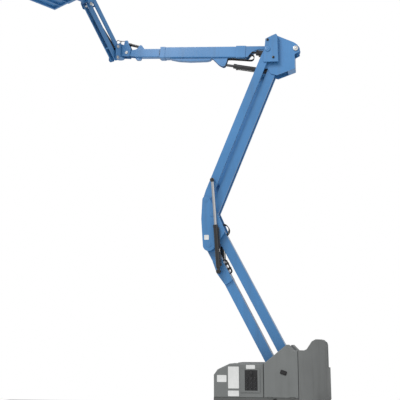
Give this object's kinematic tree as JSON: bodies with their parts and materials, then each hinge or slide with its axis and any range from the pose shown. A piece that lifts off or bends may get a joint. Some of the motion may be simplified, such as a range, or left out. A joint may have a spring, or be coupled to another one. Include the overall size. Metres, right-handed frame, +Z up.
{
  "type": "articulating boom lift",
  "caption": "Self-propelled articulating boom lift: folding riser of two parallelograms, telescopic boom, swinging jib and guarded work platform on a steered four-wheel chassis.",
  "frame": {"origin": "on the ground under the slew axis, midway between the axles", "axes": "+X forward over the steered axle, +Y to the machine's left, +Z up"},
  "size_m": [5.4983, 2.4661, 8.6729],
  "materials": {
    "boom_blue": "gloss enamel",
    "cover_grey": "satin moulded",
    "cast_grey": "painted casting",
    "frame_dark": "satin enamel",
    "barrel_black": "gloss enamel",
    "rod_chrome": "polished",
    "tyre_rubber": "moulded",
    "rim_white": "satin enamel",
    "battery_case": null,
    "panel_black": "moulded",
    "hose_rubber": "moulded",
    "steel": "ground"
  },
  "bodies": {
    "chassis": {"chassis_frame": "frame_dark", "sponson_left": "frame_dark", "sponson_right": "frame_dark", "front_axle": "frame_dark", "rear_axle": "frame_dark", "slew_ring": "steel"},
    "steer_left": {"knuckle_left": "frame_dark"},
    "steer_right": {"knuckle_right": "frame_dark"},
    "tie_rod": {"tie_rod": "rod_chrome"},
    "turntable": {"turntable_base": "frame_dark", "counterweight": "cast_grey", "front_housing_left": "cover_grey", "front_housing_right": "cover_grey", "battery_packs": "battery_case", "ground_controls": "panel_black"},
    "cover_left": {"cover_left": "cover_grey"},
    "cover_right": {"cover_right": "cover_grey"},
    "lower_arm_front": {"lower_arm_front": "boom_blue", "riser_hoses": "hose_rubber"},
    "lower_arm_rear": {"lower_arm_rear": "boom_blue"},
    "elbow": {"elbow": "boom_blue"},
    "upper_link_front": {"upper_link_front": "boom_blue"},
    "upper_link_rear": {"upper_link_rear": "boom_blue"},
    "riser_head": {"riser_head": "boom_blue"},
    "riser_barrels": {"riser_cylinder_barrels": "barrel_black"},
    "riser_rods": {"riser_cylinder_rods": "rod_chrome"},
    "boom": {"boom_tube": "boom_blue", "boom_fairing": "boom_blue"},
    "extension": {"extension_tube": "boom_blue"},
    "level_bracket": {"level_bracket": "boom_blue"},
    "lift_barrel": {"lift_cylinder_barrel": "barrel_black"},
    "lift_rod": {"lift_cylinder_rod": "rod_chrome"},
    "master_barrel": {"master_cylinder_barrel": "barrel_black"},
    "master_rod": {"master_cylinder_rod": "rod_chrome"},
    "slave_barrel": {"slave_cylinder_barrel": "barrel_black"},
    "slave_rod": {"slave_cylinder_rod": "rod_chrome"},
    "jib_swing": {"jib_swing": "boom_blue"},
    "jib_lower_link": {"jib_lower_link": "boom_blue"},
    "jib_upper_link": {"jib_upper_link": "boom_blue"},
    "jib_barrel": {"jib_cylinder_barrel": "barrel_black"},
    "jib_rod": {"jib_cylinder_rod": "rod_chrome"},
    "jib_head": {"jib_head": "boom_blue"},
    "platform": {"platform_mount": "boom_blue", "platform_floor": "boom_blue", "platform_rails": "boom_blue", "platform_controls": "panel_black"},
    "platform_gate": {"platform_gate": "boom_blue"},
    "wheel_front_left": {"tyre_front_left": "tyre_rubber", "rim_front_left": "rim_white"},
    "wheel_front_right": {"tyre_front_right": "tyre_rubber", "rim_front_right": "rim_white"},
    "wheel_rear_left": {"tyre_rear_left": "tyre_rubber", "rim_rear_left": "rim_white"},
    "wheel_rear_right": {"tyre_rear_right": "tyre_rubber", "rim_rear_right": "rim_white"}
  },
  "joints": [
    {"name": "steer_left", "type": "hinge", "parent": "chassis", "child": "steer_left", "pos_m": [0.99, 0.52, 0.28], "axis": [0, 0, 1], "range_deg": [-35, 35]},
    {"name": "steer_right", "type": "hinge", "parent": "chassis", "child": "steer_right", "pos_m": [0.99, -0.52, 0.28], "axis": [0, 0, 1], "range_deg": [-35.01, 35.01]},
    {"name": "tie_rod_slide", "type": "slide", "parent": "chassis", "child": "tie_rod", "axis": [0, 1, 0], "range_m": [-0.08, 0.08]},
    {"name": "wheel_front_left_spin", "type": "hinge", "parent": "steer_left", "child": "wheel_front_left", "pos_m": [0.99, 0.66, 0.28], "axis": [0, 1, 0], "continuous": true},
    {"name": "wheel_front_right_spin", "type": "hinge", "parent": "steer_right", "child": "wheel_front_right", "pos_m": [0.99, -0.66, 0.28], "axis": [0, 1, 0], "continuous": true},
    {"name": "wheel_rear_left_spin", "type": "hinge", "parent": "chassis", "child": "wheel_rear_left", "pos_m": [-0.99, 0.66, 0.28], "axis": [0, 1, 0], "continuous": true},
    {"name": "wheel_rear_right_spin", "type": "hinge", "parent": "chassis", "child": "wheel_rear_right", "pos_m": [-0.99, -0.66, 0.28], "axis": [0, 1, 0], "continuous": true},
    {"name": "slew", "type": "hinge", "parent": "chassis", "child": "turntable", "pos_m": [0, 0, 0.66], "axis": [0, 0, 1], "range_deg": [-177.5, 177.5]},
    {"name": "cover_left_hinge", "type": "hinge", "parent": "turntable", "child": "cover_left", "pos_m": [0, 0.69, 0.758], "axis": [-1, 0, 0], "range_deg": [0, 70]},
    {"name": "cover_right_hinge", "type": "hinge", "parent": "turntable", "child": "cover_right", "pos_m": [0, -0.69, 0.758], "axis": [1, 0, 0], "range_deg": [0, 70]},
    {"name": "riser", "type": "hinge", "parent": "turntable", "child": "lower_arm_front", "pos_m": [0.03, 0, 0.991], "axis": [0, -1, 0], "range_deg": [-61.5, 0]},
    {"name": "riser_rear_arm", "type": "hinge", "parent": "turntable", "child": "lower_arm_rear", "pos_m": [-0.133, 0, 1.224], "axis": [0, -1, 0], "range_deg": [-61.51, 0.01]},
    {"name": "elbow_pivot", "type": "hinge", "parent": "lower_arm_front", "child": "elbow", "pos_m": [1.15805, 0, 3.15797], "axis": [0, -1, 0], "range_deg": [-0.01, 61.51]},
    {"name": "upper_front_pivot", "type": "hinge", "parent": "elbow", "child": "upper_link_front", "pos_m": [1.20405, 0, 3.91997], "axis": [0, -1, 0], "range_deg": [-0.01, 66.21]},
    {"name": "upper_rear_pivot", "type": "hinge", "parent": "elbow", "child": "upper_link_rear", "pos_m": [1.10205, 0, 3.67097], "axis": [0, -1, 0], "range_deg": [-0.01, 66.21]},
    {"name": "head_pivot", "type": "hinge", "parent": "upper_link_front", "child": "riser_head", "pos_m": [0.12467, 0, 6.50031], "axis": [0, -1, 0], "range_deg": [-66.21, 0.01]},
    {"name": "riser_cylinder_pivot", "type": "hinge", "parent": "lower_arm_front", "child": "riser_barrels", "pos_m": [0.98573, 0, 2.71217], "axis": [0, -1, 0], "range_deg": [-0.01, 53.24]},
    {"name": "riser_cylinder_stroke", "type": "slide", "parent": "riser_barrels", "child": "riser_rods", "axis": [0.0651, 0, 0.9979], "range_m": [-0.6689, 0.0005]},
    {"name": "boom_lift", "type": "hinge", "parent": "riser_head", "child": "boom", "pos_m": [-0.34533, 0, 6.50031], "axis": [0, -1, 0], "range_deg": [0, 70.6]},
    {"name": "extension", "type": "slide", "parent": "boom", "child": "extension", "axis": [0.9971, 0, 0.0767], "range_m": [0, 1.1]},
    {"name": "level_pivot", "type": "hinge", "parent": "extension", "child": "level_bracket", "pos_m": [2.67973, 0, 6.69507], "axis": [0, -1, 0], "range_deg": [-70.61, 0.01]},
    {"name": "lift_cylinder_pivot", "type": "hinge", "parent": "riser_head", "child": "lift_barrel", "pos_m": [0.05967, 0, 6.15031], "axis": [0, -1, 0], "range_deg": [-0.01, 70.96]},
    {"name": "lift_cylinder_stroke", "type": "slide", "parent": "lift_barrel", "child": "lift_rod", "axis": [0.9743, 0, 0.2253], "range_m": [-0.0005, 0.6191]},
    {"name": "master_cylinder_pivot", "type": "hinge", "parent": "riser_head", "child": "master_barrel", "pos_m": [-0.13033, 0, 6.44231], "axis": [0, -1, 0], "range_deg": [-0.01, 78.92]},
    {"name": "master_cylinder_stroke", "type": "slide", "parent": "master_barrel", "child": "master_rod", "axis": [0.9864, 0, 0.1643], "range_m": [-0.0005, 0.2324]},
    {"name": "slave_cylinder_pivot", "type": "hinge", "parent": "extension", "child": "slave_barrel", "pos_m": [2.42773, 0, 6.80007], "axis": [0, -1, 0], "range_deg": [-26.06, 0.01]},
    {"name": "slave_cylinder_stroke", "type": "slide", "parent": "slave_barrel", "child": "slave_rod", "axis": [0.9483, 0, 0.3173], "range_m": [-0.0005, 0.1611]},
    {"name": "jib_swing", "type": "hinge", "parent": "level_bracket", "child": "jib_swing", "pos_m": [2.81473, 0, 6.73757], "axis": [0, 0, 1], "range_deg": [-147, 33]},
    {"name": "jib_lift", "type": "hinge", "parent": "jib_swing", "child": "jib_lower_link", "pos_m": [2.89199, 0.12857, 6.57307], "axis": [-0.8572, 0.515, 0], "range_deg": [-15.4, 122.6]},
    {"name": "jib_upper_pivot", "type": "hinge", "parent": "jib_swing", "child": "jib_upper_link", "pos_m": [2.89199, 0.12857, 6.77807], "axis": [-0.8572, 0.515, 0], "range_deg": [-15.41, 122.61]},
    {"name": "jib_head_pivot", "type": "hinge", "parent": "jib_lower_link", "child": "jib_head", "pos_m": [3.2183, 0.67165, 7.37244], "axis": [-0.8572, 0.515, 0], "range_deg": [-122.61, 15.41]},
    {"name": "jib_cylinder_pivot", "type": "hinge", "parent": "jib_swing", "child": "jib_barrel", "pos_m": [2.89199, 0.12857, 6.77807], "axis": [-0.8572, 0.515, 0], "range_deg": [-15.13, 120.39]},
    {"name": "jib_cylinder_stroke", "type": "slide", "parent": "jib_barrel", "child": "jib_rod", "axis": [0.3756, 0.6251, 0.6842], "range_m": [-0.0486, 0.3836]},
    {"name": "platform_rotate", "type": "hinge", "parent": "jib_head", "child": "platform", "pos_m": [3.27341, 0.76337, 7.52144], "axis": [0, 0, -1], "range_deg": [-90, 90]},
    {"name": "gate_hinge", "type": "hinge", "parent": "platform", "child": "platform_gate", "pos_m": [3.12319, 1.60261, 7.90144], "axis": [0, 0, 1], "range_deg": [0, 80]}
  ],
  "couplings": [
    {"joint": "steer_right", "follows": "steer_left", "ratio": 1},
    {"joint": "tie_rod_slide", "follows": "steer_left", "m_per_rad": -0.13},
    {"joint": "riser_rear_arm", "follows": "riser", "ratio": 1},
    {"joint": "elbow_pivot", "follows": "riser", "ratio": -1},
    {"joint": "upper_front_pivot", "follows": "riser", "ratio": -1.0764},
    {"joint": "upper_rear_pivot", "follows": "riser", "ratio": -1.0764},
    {"joint": "head_pivot", "follows": "riser", "ratio": 1.0764},
    {"joint": "riser_cylinder_pivot", "follows": "riser", "ratio": -0.86558},
    {"joint": "riser_cylinder_stroke", "follows": "riser", "m_per_rad": 0.62267},
    {"joint": "level_pivot", "follows": "boom_lift", "ratio": -1},
    {"joint": "lift_cylinder_pivot", "follows": "boom_lift", "ratio": 1.0049},
    {"joint": "lift_cylinder_stroke", "follows": "boom_lift", "m_per_rad": 0.50202},
    {"joint": "master_cylinder_pivot", "follows": "boom_lift", "ratio": 1.1176},
    {"joint": "master_cylinder_stroke", "follows": "boom_lift", "m_per_rad": 0.18823},
    {"joint": "slave_cylinder_pivot", "follows": "boom_lift", "ratio": -0.36891},
    {"joint": "slave_cylinder_stroke", "follows": "boom_lift", "m_per_rad": 0.13031},
    {"joint": "jib_upper_pivot", "follows": "jib_lift", "ratio": 1},
    {"joint": "jib_head_pivot", "follows": "jib_lift", "ratio": -1},
    {"joint": "jib_cylinder_pivot", "follows": "jib_lift", "ratio": 0.98188},
    {"joint": "jib_cylinder_stroke", "follows": "jib_lift", "m_per_rad": 0.17902}
  ]
}
